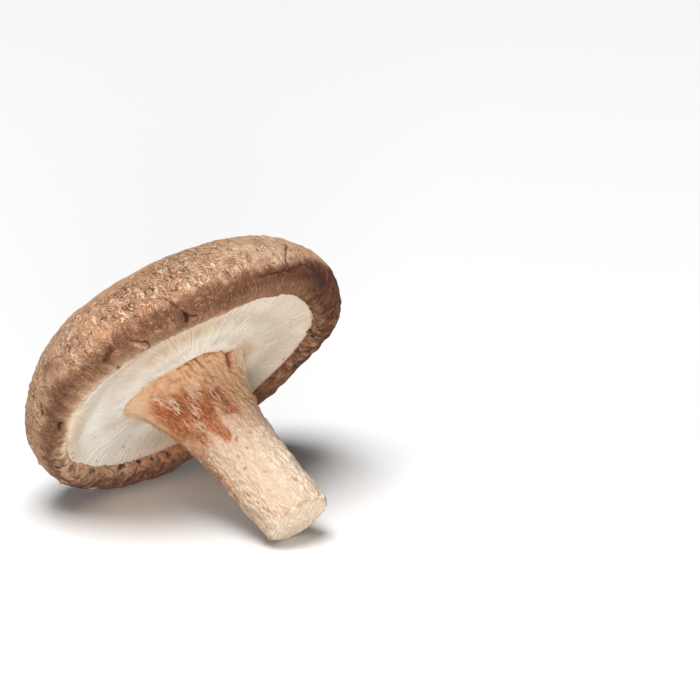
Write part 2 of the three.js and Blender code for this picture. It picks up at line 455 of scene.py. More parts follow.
def colour(red, green, blue):
    """A screen colour, 0 to 255, as the shader takes it."""
    return (*[((part / 255 + 0.055) / 1.055) ** 2.4 for part in (red, green, blue)], 1)


FLESH_GLOW = (1, 0.6, 0.4)  # how far red, green and blue light runs in the flesh
DULL_SHINE = 0.2


class Nodes:
    """The nodes of a material or of the world, which end in the one called last."""

    def __init__(self, owner, last, inputs):
        owner.use_nodes = True
        self.tree = owner.node_tree
        self.last = self.tree.nodes[last]
        feed(self.last, inputs)

    def node(self, kind, settings, inputs, output=0):
        return made(self.tree, kind, settings, inputs, output)

    def mix(self, share, first, second):
        """The first colour where share is 0, the second where it is 1."""
        return self.node("ShaderNodeMix", {"data_type": "RGBA"}, {0: share, 6: first, 7: second}, 2)


class Finish(Nodes):
    """A material in the making: a tint laid on coat by coat, for one Principled shader."""

    def __init__(self, name, roughness, subsurface, reach):
        self.material = bpy.data.materials.new(name)
        super().__init__(self.material, "Principled BSDF", {
            "Roughness": roughness, "Subsurface Weight": subsurface, "Subsurface Scale": reach * MM,
            "Subsurface Radius": FLESH_GLOW, "Specular IOR Level": DULL_SHINE})
        self.here = self.node("ShaderNodeTexCoord", {}, {}, "Object")

    def lay(self, share, tint):
        """Covers the tint so far with another, where share is 1."""
        self.tint = self.mix(share, self.tint, tint)

    def area(self, name, output="Fac"):
        """What painted gave the piece under this name: a number, or with "Vector" a place."""
        return self.node("ShaderNodeAttribute", {"attribute_name": name}, {}, output)

    def grain(self, size, detail=2, curl=0, place=None, output=0):
        """Noise from 0 to 1 with grains of this size in millimetres, drawn out in curls by curl."""
        size = size if isinstance(size, tuple) else (size, size, size)
        scale = tuple(1 / (part * MM) for part in size)
        spot = self.node("ShaderNodeVectorMath", {"operation": "MULTIPLY"},
                         {0: place or self.here, 1: scale})
        return self.node("ShaderNodeTexNoise", {}, {
            "Vector": spot, "Scale": 1, "Detail": detail, "Distortion": curl}, output)

    def curled(self, place, size, reach):
        """The place moved about by up to reach millimetres, in curls of this size."""
        drift = self.grain(size, 1, place=place, output="Color")
        shift = self.node("ShaderNodeVectorMath", {"operation": "MULTIPLY_ADD"},
                          {0: drift, 1: (4 * reach * MM,) * 3, 2: (-2 * reach * MM,) * 3})
        return self.node("ShaderNodeVectorMath", {"operation": "ADD"}, {0: place, 1: shift})

    def done(self, height, depth, **more):
        """Links the tint and the fine relief, depth millimetres from its lowest to its highest."""
        bump = self.node("ShaderNodeBump", {}, {"Height": height, "Distance": depth * MM, "Strength": 1.0})
        feed(self.last, {"Base Color": self.tint, "Normal": bump, **more})
        return self.material


DOME_BROWN = colour(158, 106, 70)
FAWN = colour(193, 150, 117)
ORANGE_FAWN = colour(182, 122, 80)
PALE_SKIN = colour(209, 177, 147)
PALE_FLECK_AND_HIGHLIGHT = colour(242, 212, 178)
CREASE_BROWN = colour(104, 66, 44)
INNER_BROWN = colour(157, 112, 82)
CORE_BROWN = colour(122, 83, 59)
FIBRIL_BROWN = colour(80, 50, 34)
STREAK_TAN = colour(192, 148, 114)
RUSSET = colour(118, 66, 41)
DARK_RUSSET = colour(58, 26, 14)
RIDGE_TAN = colour(172, 120, 82)
UNDER_TAN = colour(156, 108, 82)
UNDER_BROWN = colour(86, 52, 37)
UNDER_RUST = colour(176, 108, 66)
LIP_PEACH = colour(222, 180, 146)
LIP_CREAM = colour(252, 230, 202)
FURROW_BROWN = colour(62, 36, 24)
FLESH_CREAM = colour(246, 232, 212)

look = Finish("shiitake skin", roughness=0.78, subsurface=0.08, reach=1.2)
skin = look.area("skin", "Vector")
past = look.area("past_edge")
dark = look.area("dark")
wrinkled = look.area("wrinkled")
crease = look.area("crease")
ridge = look.area("ridge")
patches = look.grain(13, 2)
mottle = look.grain(5, 3)
blotch = look.grain(1.7, 3)
grit = look.grain(0.6, 3)
speck = look.grain(0.3, 2)
fibre = look.grain((0.34, 0.34, 3.2), 2, 0.5, skin)
streak = look.grain((0.8, 0.8, 6), 1, 0, skin)
brush = look.grain((0.42, 0.42, 1.3), 2, 0.4, look.curled(skin, 2.4, 1.1))
burnt = look.area("russet")
# Fine creases and ridges drawn in the shader, laid dark as painted shade and pale as painted highlight.
fine_crease = (1 - abs(brush - 0.47).step(0.0, 0.05)) * wrinkled * (1 - burnt)
fine_ridge = brush.step(0.52, 0.64) * wrinkled * (1 - burnt)
look.tint = look.mix((past + (mottle - 0.5) * 12).step(-25, -13), DOME_BROWN, FAWN)
domed = 1 - (past + (mottle - 0.5) * 8).step(-24, -13)
look.lay((patches + (blotch - 0.5) * 0.3).step(0.44, 0.6) * (0.36 + domed * 0.5), ORANGE_FAWN)
look.lay(look.area("pale") * 0.6, PALE_SKIN)
look.lay(blotch.step(0.5, 0.66) * (0.12 + wrinkled * 0.35), INNER_BROWN)
look.lay(grit.step(0.55, 0.75) * 0.35, PALE_FLECK_AND_HIGHLIGHT)
look.lay((1 - grit).step(0.56, 0.74) * 0.45, INNER_BROWN)
# Painted highlight on the ridges and the fine ridges.
look.lay(ridge * (0.25 + grit.step(0.4, 0.6) * 0.4), PALE_FLECK_AND_HIGHLIGHT)
look.lay(fine_ridge * 0.5, PALE_FLECK_AND_HIGHLIGHT)
# Painted shade in the creases and the fine creases.
look.lay(crease * 0.35, INNER_BROWN)
look.lay((crease + (grit - 0.5) * 1.2).step(0.42, 0.72) * 0.8, CREASE_BROWN)
look.lay(fine_crease * (blotch + (speck - 0.5) * 0.6).step(0.34, 0.56) * 0.85, CREASE_BROWN)
look.lay((speck * 0.7 + blotch * 0.3).step(0.6, 0.66) * (0.2 + wrinkled * 0.6), CREASE_BROWN)
core = (look.area("core") + (blotch - 0.5) * 1.4).step(0.25, 0.95)
band = look.mix(core, INNER_BROWN, CORE_BROWN)
band = look.mix((1 - fibre).step(0.46, 0.66) * (0.2 + core * 0.3), band, FIBRIL_BROWN)
band = look.mix((streak * 0.5 + fibre * 0.5).step(0.54, 0.68) * (0.5 - core * 0.3), band, STREAK_TAN)
band = look.mix((1 - brush).step(0.5, 0.62) * 0.35, band, FIBRIL_BROWN)
band = look.mix(brush.step(0.55, 0.66) * 0.3, band, STREAK_TAN)
rust = look.mix((blotch * 0.6 + grit * 0.4).step(0.42, 0.58), DARK_RUSSET, RUSSET)
# In the russet part the ridges are laid tan, partly as painted highlight, and the creases dark as painted
# shade.
rust = look.mix((ridge * 0.5 + blotch * 0.6 + grit * 0.4).step(0.74, 1.0) * 0.75, rust, RIDGE_TAN)
rust = look.mix(crease * 0.8, rust, DARK_RUSSET)
rust = look.mix((speck * 0.6 + grit * 0.4).step(0.57, 0.67) * 0.45, rust, RIDGE_TAN)
band = look.mix(burnt.step(0.0, 0.7) * 0.95, band, rust)
low = look.mix((blotch * 0.6 + mottle * 0.2 + grit * 0.2).step(0.46, 0.6), UNDER_BROWN, UNDER_TAN)
low = look.mix(grit.step(0.55, 0.68) * 0.4, low, LIP_PEACH)
low = look.mix(look.area("baked") * blotch.step(0.34, 0.52), low, UNDER_RUST)
band = look.mix(look.area("under") * past.step(3.5, 6) * 0.9, band, low)
band = look.mix((1 - grit).step(0.55, 0.72) * 0.4, band, FIBRIL_BROWN)
edge = dark * (1 + burnt * dark * 0.7) + (fibre - 0.5) * 0.9 + (grit - 0.5) * 0.9 + (blotch - 0.5) * 0.5
look.lay(edge.step(0.0, 1.05), band)
creamy = look.area("creamy")
peach = look.mix((creamy + (blotch - 0.5) * 1.2).step(0.1, 0.8), LIP_PEACH, LIP_CREAM)
grain = fibre + (grit - fibre) * look.area("under").step(0.0, 0.5)
look.lay(look.area("tan") * (grain + (grit - 0.5) * 0.9 + creamy).step(0.1, 0.5), peach)
# Painted shade in the pits, cracks and scabs.
look.lay((look.area("furrow") + (grit - 0.5) * 0.3).step(0.05, 0.75) * 0.92, FURROW_BROWN)
look.lay(look.area("flesh"), FLESH_CREAM)
relief = (grit * 0.55 + speck * 0.3 + fibre * (0.2 + dark * 0.5) * (1 - burnt * 0.8)
          + blotch * (0.3 + burnt * 0.5) - fine_crease * 0.6 + fine_ridge * 0.3)
dull = (past + (mottle - 0.5) * 8).step(-20, -8) * 0.2 + 0.58
cap.data.materials.append(look.done(relief, 0.5, Roughness=dull))
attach(cap, "root")
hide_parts("shiitake_mushroom")

# ------------------------
# The gills: thin soft blades packed side by side from the stem to the rolled margin, with shorter
# ones let in between them as the face widens. Their edges are cream, rounded and a little toothed.
# Painted shade lies in the gaps between the blades, on their right side and below the stem and collar.
LONG_BLADES = 76
CLOSE_SHARE = 1.16  # how thick each blade is, as a share of the room that it has
CLEAR_SHARE = 1.0  # the same at the top, where the blades stand clearest
BLADE_STEPS = 18
BLADE_BEVEL = 0.2  # of the edge, as a share of the blade's thickness
BLADE_ROOT = 0.15  # the blades reach this deep into the flesh
BLADE_SHIFT = 0.07  # how far their places vary, as a share of the spacing
BLADE_SWAY = 0.07  # how far they wander to their sides on the way
# Each kind: how many, first direction as a share of the spacing, nearest and furthest start from the axis,
# and how far its edge lies below the face.
BLADE_KINDS = (
    (LONG_BLADES, 0.0, (6.5, 6.6), 0.0),
    (LONG_BLADES, 0.5, (9.5, 12.2), 0.02),
    (2 * LONG_BLADES, 0.5, (15, 19.5), 0.05),
)

STEM_TOP = (-1.1, -1.6)
COLLAR_LONG = 12.9
COLLAR_SHORT = 7.7
COLLAR_TURN = math.radians(18.5)


def collar_radius(direction):
    turned = direction - COLLAR_TURN
    across = np.hypot(COLLAR_SHORT * np.cos(turned), COLLAR_LONG * np.sin(turned))
    return COLLAR_LONG * COLLAR_SHORT / across


bpy.ops.mesh.primitive_cube_add(size=1, location=(0.5, 0, 0.5))
bpy.ops.object.transform_apply(location=True)
blade = bpy.context.object
bpy.ops.object.mode_set(mode="EDIT")
bpy.ops.mesh.select_all(action="DESELECT")
bpy.ops.object.mode_set(mode="OBJECT")
for edge in blade.data.edges:
    ends = [blade.data.vertices[i].co for i in edge.vertices]
    edge.select = ends[0].z == ends[1].z == 1 and ends[0].x != ends[1].x
bpy.ops.object.mode_set(mode="EDIT")
bpy.ops.mesh.bevel(offset=BLADE_BEVEL, segments=2, affect="EDGES")
for cut in range(1, BLADE_STEPS):
    bpy.ops.mesh.select_all(action="SELECT")
    bpy.ops.mesh.bisect(plane_co=(cut / BLADE_STEPS, 0, 0), plane_no=(1, 0, 0))
bpy.ops.object.mode_set(mode="OBJECT")
blade_spots = np.array([vertex.co for vertex in blade.data.vertices])
blade_faces = [tuple(face.vertices) for face in blade.data.polygons]
bpy.data.objects.remove(blade)


def joined(name, parts, faces):
    """One piece made of many copies of one shape: parts holds each copy's own vertices."""
    count = parts.shape[1]
    mesh = bpy.data.meshes.new(name)
    every = [tuple(i + copy * count for i in face) for copy in range(len(parts)) for face in faces]
    mesh.from_pydata(parts.reshape(-1, 3).tolist(), [], every)
    piece = shown(name, mesh)
    bpy.ops.object.shade_smooth()
    piece.select_set(False)
    return piece


turns, starts, drops = [], [], []
for count, first, (nearest, furthest), drop in BLADE_KINDS:
    shift = first + chance.uniform(-BLADE_SHIFT, BLADE_SHIFT, count)
    turns.append((np.arange(count) + shift) * 2 * math.pi / count)
    starts.append(chance.uniform(nearest, furthest, count))
    drops.append(np.full(count, drop))
turns, starts, drops = (np.concatenate(rows)[:, None] for rows in (turns, starts, drops))
run, across, tall = blade_spots.T
# Flatter edges than the bevel leaves, but for the top, where the blades stand clearest.
top = lobe(turns, 105, 60)
flatness = 4.2 - 2.8 * top
tall = 1 - (1 - tall) ** flatness
left = lobe(turns, 172, 80)
ends = GILL_RADIUS + 0.5 + 1.1 * left - between(turns, SWELL_TURNS, SWELLS)
radius = starts + (ends - starts) * run
blades_here = LONG_BLADES * (1 + eased(radius, 11.8, 13.4) + 2 * eased(radius, 19, 21))
room = 2 * math.pi * radius / blades_here
thickness = (CLOSE_SHARE + (CLEAR_SHARE - CLOSE_SHARE) * top) * room
own_place = around(radius, turns, turns).reshape(-1, 3)
face_place = around(radius, turns, 0).reshape(-1, 3)
wander = BLADE_SWAY * bumps(own_place, 3, 21).reshape(radius.shape)
tooth = 0.08 * bumps(own_place, (1.1, 1.1, 0.01), 22).reshape(radius.shape) * (0.35 + 0.65 * top)
swell = 0.22 * bumps(face_place, 6, 23).reshape(radius.shape)
sideways = across * thickness + wander
turned = turns + sideways / radius
# On the left the blades climb the rolled margin and end on its top.
near_wall = eased(radius, ends - 2.9 - 5.1 * left, ends - 0.2)
climb = 0.5 + 1.75 * left
edge_height = -drops + tooth + swell + climb * near_wall - 0.6 * eased(7.6 - radius, 0, 1)
along = -GILL_BED - BLADE_ROOT + tall * (GILL_BED + BLADE_ROOT + edge_height)
gills = joined("gills", bent(radius, turned, along), blade_faces)
shade = np.broadcast_to(chance.uniform(0, 1, len(turns))[:, None], radius.shape)
side, up, _ = around(radius, turned, 0).reshape(-1, 3).T
round_stem = np.arctan2(up - STEM_TOP[1], side - STEM_TOP[0])
beyond = np.hypot(side - STEM_TOP[0], up - STEM_TOP[1]) - collar_radius(round_stem)
stain = (1 - eased(beyond, 0.2, 2.6)) * 0.8
stain = np.maximum(stain, 1 - eased(np.hypot(side - 9, up - 3), 2, 8))
# Painted shade and warm painted reflection: the gills are laid darker and warmer towards the right.
warm = eased(side, -8, 20)
outward = np.arctan2(up, side)
radius = np.hypot(side, up)
low_left = lobe(outward, -160, 70) * eased(radius, 22, 26.5)
fringe = lobe(outward, 172, 80) * eased(radius, 26.4, 28.3)
clear = lobe(outward, 120, 75) * eased(radius, 12, 18)
# Painted shade: the gills are laid darker and browner below the stem and under the collar's left tip.
baked = lobe(outward, -70, 62) * eased(radius, 9, 21)
below_collar = lobe(round_stem, -118, 42) * (1 - eased(beyond, 0.5, 6.5))
baked = np.maximum(baked, 0.9 * below_collar)
sunk = 1 - np.broadcast_to(tall, shade.shape).ravel()
painted(gills, shade=shade.ravel(), stain=stain, warm=warm, tan=low_left, sunk=sunk, fringe=fringe,
        clear=clear, baked=baked)

GILL_CREAM = colour(255, 242, 223)
GILL_WARM = colour(240, 211, 181)
GILL_BEIGE = colour(216, 182, 148)
GILL_FLECK = colour(196, 142, 92)
GILL_STAIN_AND_GAP_SHADE = colour(224, 180, 136)
GILL_PEACH = colour(248, 222, 190)
GILL_SHADED = colour(194, 150, 116)

look = Finish("shiitake gills", roughness=0.7, subsurface=0.3, reach=2)
mottle = look.grain(7, 2)
fleck = look.grain(1.1, 2)
fluff = look.grain(0.45, 3)
# Towards the right the gills are laid warmer and darker: painted shade and painted reflection.
warm = (look.area("warm") + (mottle - 0.5) * 1.2).step(0.0, 1.1)
look.tint = look.mix(warm * 0.8, GILL_CREAM, GILL_WARM)
look.lay(look.area("shade").step(0.5, 1.0) * 0.12, GILL_BEIGE)
# Painted shade: the sunk sides of the blades, down in the gaps between them, are laid darker.
look.lay((look.area("sunk") + (fluff - 0.5) * 0.6).step(0.1, 0.6) * 0.2, GILL_BEIGE)
look.lay(fluff.step(0.56, 0.72) * 0.25, GILL_BEIGE)
look.lay((look.area("stain") + (mottle - 0.5) * 0.8).step(0.3, 1.0) * 0.7, GILL_STAIN_AND_GAP_SHADE)
look.lay(look.area("clear") * 0.9, GILL_WARM)
look.lay(look.area("clear") * 0.4, GILL_BEIGE)
# Painted shade: at the top the gaps between the blades are laid darker still.
painted_gap_shade = (look.area("sunk") + (fluff - 0.5) * 0.5).step(0.05, 0.45) * look.area("clear")
look.lay(painted_gap_shade * 0.8, GILL_STAIN_AND_GAP_SHADE)
# Painted shade below the stem and under the collar.
look.lay(look.area("baked") * (0.7 + mottle * 0.3), GILL_SHADED)
look.lay((look.area("fringe") + (fleck - 0.5) * 0.5).step(0.1, 0.9), GILL_PEACH)
look.lay((look.area("tan") + (fleck - 0.5) * 1.2).step(0.3, 1.0) * 0.8, GILL_WARM)
look.lay((fleck + look.area("warm") * 0.03).step(0.67, 0.75) * 0.7, GILL_FLECK)
gills.data.materials.append(look.done(fluff * 0.6 + fleck * 0.4, 0.26))
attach(gills, "root")
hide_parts("shiitake_mushroom")

# ------------------------
# The stem: a tough fibrous stalk, oval where it spreads into a torn collar on the gills, and cut
# across at its foot. Rust brown under the collar, cream and woolly below, pale and rough on the cut.
# Its lower left side and its hollows carry painted shade, its crests and right side painted highlight.
STEM_LENGTH = 34.8
STEM_TOP_RADIUS = 7.4
STEM_CUT_RADIUS = 6.6
STEM_ROOT = 1.4  # how deep it is sunk into the cap
STEM_FOOT = (4.1, -0.6)
COLLAR_SHARPNESS = 4.5
CUT_SLOPE = 0.03
CUT_ROUNDING = 0.8
STEM_SECTORS = 260
STEM_SPACING = 0.16
CUT_RINGS = 40
BARK_RADIUS = 7  # at which the stem's own patterns are measured


def stem_section():
    """Half section as shares of the stem's radius, from its root to the middle of the cut."""
    turn = np.linspace(0, math.pi / 2, 5)
    side = np.arange(-STEM_ROOT, STEM_LENGTH - CUT_ROUNDING, STEM_SPACING)
    inset = CUT_ROUNDING / STEM_CUT_RADIUS
    return np.concatenate([
        [[0, -STEM_ROOT]],
        np.stack([np.ones(side.shape), side], 1),
        np.stack([1 - inset * (1 - np.cos(turn)), STEM_LENGTH - CUT_ROUNDING * (1 - np.sin(turn))], 1),
        np.stack([np.linspace(1 - inset, 0, CUT_RINGS)[1:], np.full(CUT_RINGS - 1, STEM_LENGTH)], 1),
    ])


def patch(direction, along, turn, depth, turn_reach, depth_reach):
    """1 in the middle of an oval patch of the stem, falling smoothly to 0 at its edge."""
    away = np.hypot(turned_from(direction, turn) / turn_reach, (along - depth) / depth_reach)
    return 1 - eased(away, 0.25, 1)


# Patches of pale torn felt: direction in degrees, place along the stem, reach of each.
FELT = ((134, 4.8, 14, 3.4), (146, 7.6, 7, 2.4), (154, 10.5, 9, 3.2), (168, 3.2, 7, 3), (161, 5.4, 8, 2.8),
        (102, 6.1, 9, 3), (120, 4.4, 10, 3), (-60, 7, 12, 3), (-110, 9, 10, 3), (-20, 10, 12, 3))
# Patches of rust, one of them painted shade (at -160): how strong and how ragged each is, then the same
# four.
RUST_AND_SHADE_PATCHES = ((1, 0.8, 165, 7.2, 45, 8.2), (1, 1, 138, 11, 28, 7.5), (0.7, 0.6, 138, 5.8, 22, 5.4),
          (0.65, 1, 108, 9, 34, 7), (0.7, 0.5, 164, 14, 18, 5), (0.35, 1, -160, 12, 34, 12),
          (0.6, 1, -60, 8, 60, 9))

# The stem's relief: heights of its soft swellings and depths of its holes.
WOOL_HEIGHT = 0.26
FELT_HEIGHT = 0.18
TUFT_DEPTH = 0.28
TEAR_DEPTH = 0.2
HOLE_DEPTH = 0.26
SPLIT_DEPTH = 0.45
BULGE_HEIGHT = 1.2
GILL_RIBS = 70  # ribs round the stem where the gills run down on it


def stem_relief(direction, along, share):
    """Height of the stem's surface over the plain stem, and its areas, each 0 to 1."""
    bark = around(BARK_RADIUS, direction, along)
    inside = around(BARK_RADIUS * share, direction, along)
    worn = share + 0.05 * bumps(inside, (1.3, 1.3, 9), 46)
    cut = eased(along, STEM_LENGTH - 0.5, STEM_LENGTH - 0.1) * (1 - eased(worn, 0.88, 0.99))
    collar = 1 - eased(along, 0.5, 9)
    wool = bumps(inside, (2.6, 2.6, 3.4), 31)
    lumps = bumps(inside, (1.25, 1.25, 1.8), 41)
    warped = stirred(bark, 2.0, 0.6, (34, 35, 36))
    tuft = abs(bumps(warped, (0.75, 0.75, 1.5), 44))
    fibre = bumps(warped, (0.5, 0.5, 3.2), 32)
    torn = abs(bumps(warped, (0.95, 0.95, 2.6), 37))
    tear = (1 - eased(torn, 0.02, 0.14)) * (0.3 + 0.7 * (1 - eased(along, 8, 17)))
    tear = tear * (0.35 + 0.65 * eased(along, 3, 7)) * (1 - 0.65 * lobe(direction, 50, 70))
    gap, pick = cells(warped, (2.1, 2.1, 2.7), 3.1)
    pit = (1 - eased(gap, 0.12, 0.34)) * (abs(pick) > 0.28) * eased(along, 12, 18) * (1 - cut)
    pit = pit * eased(bumps(warped, (0.5, 0.5, 0.8), 50), -0.4, 0.1)
    frayed = eased(along, STEM_LENGTH - 2.2, STEM_LENGTH - 0.4)

    ragged = 3.5 * wool + 1.5 * lumps
    deep = np.maximum.reduce([strong * patch(direction, along + torn_off * ragged, *oval)
                              for strong, torn_off, *oval in RUST_AND_SHADE_PATCHES])
    felted = np.maximum.reduce([patch(direction, along + 0.5 * ragged, *oval) for oval in FELT])
    # Painted shade: the next two areas lay the lower left side of the stem darker.
    shade = patch(direction, along + ragged, -150, 17, 45, 16)
    side = lobe(direction, -160, 55) * eased(along, 10, 15)
    pale = patch(direction, along + 0.4 * ragged, -170, 0.5, 26, 4.5)
    gilled = patch(direction, along + 0.5 * ragged, 12, 2, 46, 11)
    split = np.exp(-((np.degrees(direction) - 49 - 2.3 * along) / 2.4) ** 2)
    split = np.clip(1.5 * split * (1 - eased(along, 2.6, 4)) * eased(along, -0.6, 0.1), 0, 1)
    bulge = lobe(direction, -168, 26) * eased(along, -0.5, 0.7) * (1 - eased(along, 1.3, 4.5))
    frill = (1 - eased(along, 0.8, 3)) * eased(along, -0.6, 0.4)
    ribs = np.cos(GILL_RIBS * direction + 2 * bumps(bark, 3, 45))
    nap = bumps(inside, (0.62, 0.62, 0.9), 47)
    calm = 1 - 0.6 * lobe(direction, 60, 80) * (1 - eased(along, 9, 15))
    height = (WOOL_HEIGHT * wool + 0.12 * lumps - TUFT_DEPTH * calm * tuft + 0.12 * fibre + 0.13 * nap
              - TEAR_DEPTH * tear - HOLE_DEPTH * pit - SPLIT_DEPTH * split
              + FELT_HEIGHT * felted * (1 - eased(abs(fibre), 0, 0.3)) + BULGE_HEIGHT * bulge
              + 0.12 * gilled * ribs
              + 0.2 * eased(bumps(inside, (1.0, 1.0, 1.4), 49), 0.05, 0.5)
              + frayed * (0.3 * bumps(inside, 0.7, 51) + 0.2 * bumps(inside, 1.6, 52))
              + calm * collar * 0.3 * bumps(bark, (1.7, 1.7, 3), 38)
              + calm * collar * 0.26 * bumps(bark, (0.8, 0.8, 1), 48)
              + frill * (0.9 * bumps(bark, (1.5, 1.5, 30), 42) + 0.7 * bumps(bark, (0.6, 0.6, 30), 43)))
    rough_cut = 0.16 * bumps(inside, 0.7, 39) + 0.22 * bumps(inside, 2.2, 40)
    height = height * (1 - cut) + rough_cut * cut
    # Low: the hollows, tears and troughs, laid ochre in the shader as painted shade.
    low = 0.7 * eased(tuft, 0.26, 0.5) + 0.4 * tear + 0.3 * eased(-lumps - 0.5 * wool, 0.1, 0.6)
    # Crest: painted highlight on the tops of the lumps, and on the right side of the lower stem.
    crest = (1 - eased(tuft, 0.0, 0.14)) * eased(lumps + wool, -0.5, 0.3)
    crest = np.maximum(crest, 0.7 * lobe(direction, 70, 50) * eased(along, 14, 20))
    return height, dict(
        low=np.clip(low, 0, 1) * (1 - cut), crest=crest * (1 - cut), pit=pit, deep=deep, shade=shade,
        side=side, pale=pale, gilled=gilled, cut=cut, split=split, felted=felted)


def stem_point(direction, along, lift=0, share=1):
    """A point of the stem, raised by lift, at this share of the radius, with what stem_relief says of it."""
    down = np.clip(along / STEM_LENGTH, 0, 1)
    plain = STEM_TOP_RADIUS + (STEM_CUT_RADIUS - STEM_TOP_RADIUS) * down
    flare = (collar_radius(direction) - plain) * (1 - down) ** COLLAR_SHARPNESS
    height, areas = stem_relief(direction, along, share)
    height = height + lift
    cut = areas["cut"]
    reach = share * (plain + flare) + height * (1 - cut) * share
    side = reach * np.cos(direction)
    up = reach * np.sin(direction)
    along = along - down * CUT_SLOPE * (side + up) + height * cut
    side = side + STEM_TOP[0] + (STEM_FOOT[0] - STEM_TOP[0]) * down
    up = up + STEM_TOP[1] + (STEM_FOOT[1] - STEM_TOP[1]) * down
    return placed(side, up, along), areas


STEM_SECTION = stem_section()
stem, direction, row = spun("stem", STEM_SECTION, STEM_SECTORS)
share, along = STEM_SECTION[row].T
direction[share == 0] = 0
places, areas = stem_point(direction, along, share=share)
moved(stem, places)
painted(stem, down=along, edge=eased(along, STEM_LENGTH - 1.3, STEM_LENGTH - 0.2) * (share > 0.9), **areas,
        bark=around(BARK_RADIUS * share, direction, along) * MM)

STEM_CREAM = colour(196, 175, 152)
STEM_WHITE = colour(217, 203, 186)
STEM_PEACH = colour(193, 156, 129)
STEM_TAN = colour(218, 174, 134)
SHADED_TAN = colour(140, 92, 60)
PALE_RUST_AND_SHADE = colour(184, 112, 72)
DEEP_RUST_AND_SHADE = colour(122, 66, 38)
SPLIT_RUST_AND_SHADE = colour(134, 66, 34)
FELT_PINK = colour(222, 186, 160)
OCHRE = colour(188, 143, 104)
PIT_OCHRE = colour(156, 108, 66)
COLLAR_TAN = colour(181, 132, 94)
COLLAR_PALE = colour(202, 169, 136)
GILLED_GREY = colour(252, 222, 194)
CUT_TAN = colour(230, 194, 162)
CUT_CREAM = colour(248, 228, 204)

look = Finish("shiitake stem", roughness=0.8, subsurface=0.1, reach=1.0)
bark = look.area("bark", "Vector")
down = look.area("down")
deep = look.area("deep")
mottle = look.grain(3.5, 3)
dapple = look.grain(1.3, 3)
fibre = look.grain((0.3, 0.3, 2.6), 3, 0.6, bark)
grit = look.grain(0.6, 3)
speck = look.grain(0.3, 2)
fleece = look.grain((0.7, 0.7, 1.2), 3, 1.0, bark)
lower = (down + (mottle - 0.5) * 8).step(8, 15)
look.tint = look.mix((down + (mottle - 0.5) * 14).step(11, 21), STEM_PEACH, STEM_CREAM)
look.lay((1 - (down + (mottle - 0.5) * 8).step(6, 17)) * 0.8, STEM_TAN)
look.lay((1 - lower) * dapple.step(0.5, 0.62) * 0.5, COLLAR_TAN)
look.lay((1 - lower) * (1 - dapple * 0.6 - grit * 0.4).step(0.5, 0.6) * 0.7, COLLAR_PALE)
look.lay((1 - lower) * (grit * 0.6 + speck * 0.4).step(0.54, 0.64) * 0.45, COLLAR_TAN)
# Painted shade on the lower left side of the stem.
look.lay(look.area("side") * (mottle + (fleece - 0.5) * 0.6).step(0.3, 0.6) * 0.75, STEM_PEACH)
look.lay(look.area("shade") * mottle.step(0.25, 0.45) * 0.85, SHADED_TAN)
# Rust where the patches lie, and painted shade on the lower left side of the stem.
rust_and_shade = look.mix((fibre * 0.35 + fleece * 0.3 + dapple * 0.35).step(0.42, 0.58), DEEP_RUST_AND_SHADE, PALE_RUST_AND_SHADE)
look.lay((deep + (fleece - 0.5) * 0.8 + (mottle - 0.5) * 0.6).step(0.1, 0.75), rust_and_shade)
felt = (look.area("felted") * 0.8 + (fibre - 0.5) * 2.6 + (fleece - 0.5) * 1.4).step(0.4, 0.9)
look.lay(felt * look.area("felted") * 0.7, FELT_PINK)
look.lay(look.area("pale") * fleece.step(0.3, 0.5), COLLAR_PALE)
look.lay(look.area("gilled") * 0.85, GILLED_GREY)
look.lay((1 - fleece).step(0.54, 0.68) * 0.3, OCHRE)
# Painted shade in the hollows and in the pits.
look.lay(look.area("low") * (0.08 + (1 - grit).step(0.44, 0.6) * 0.34), OCHRE)
look.lay((look.area("pit") + (grit - 0.5) * 0.8).step(0.2, 0.8) * 0.75, PIT_OCHRE)
# Painted highlight on the crests and the right side, with pale fibres of the stem's own.
bright = look.area("crest") * 0.5 + fleece.step(0.54, 0.68) * 0.5 + fibre.step(0.6, 0.75) * 0.35
look.lay(bright * (1 - deep * 0.7) * (0.12 + lower * 0.88), STEM_WHITE)
look.lay(lower * (grit * 0.5 + speck * 0.3 + dapple * 0.2).step(0.53, 0.61) * 0.45, OCHRE)
# The split is laid dark red brown: rust, and painted shade in the crack.
look.lay(look.area("split") * 0.9, SPLIT_RUST_AND_SHADE)
face = look.mix((grit * 0.4 + fleece * 0.3 + dapple * 0.3).step(0.38, 0.54), CUT_TAN, CUT_CREAM)
look.lay(look.area("cut"), face)
look.lay(look.area("edge") * (1 - dapple).step(0.46, 0.6) * 0.5, OCHRE)
look.lay(look.area("edge") * dapple.step(0.5, 0.6) * 0.6, CUT_CREAM)
stem.data.materials.append(look.done(fibre * 0.4 + grit * 0.5 + fleece * 0.7 + speck * 0.25, 0.42))
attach(stem, "root")
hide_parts("shiitake_mushroom")

# ------------------------
# Loose fibres of the skin and the stem: flattened threads of the same flesh, torn up as the mushroom
# grew. They lie on the surface, grown to it at one end, and a few stand up from it.
FIBRE_RINGS = 7


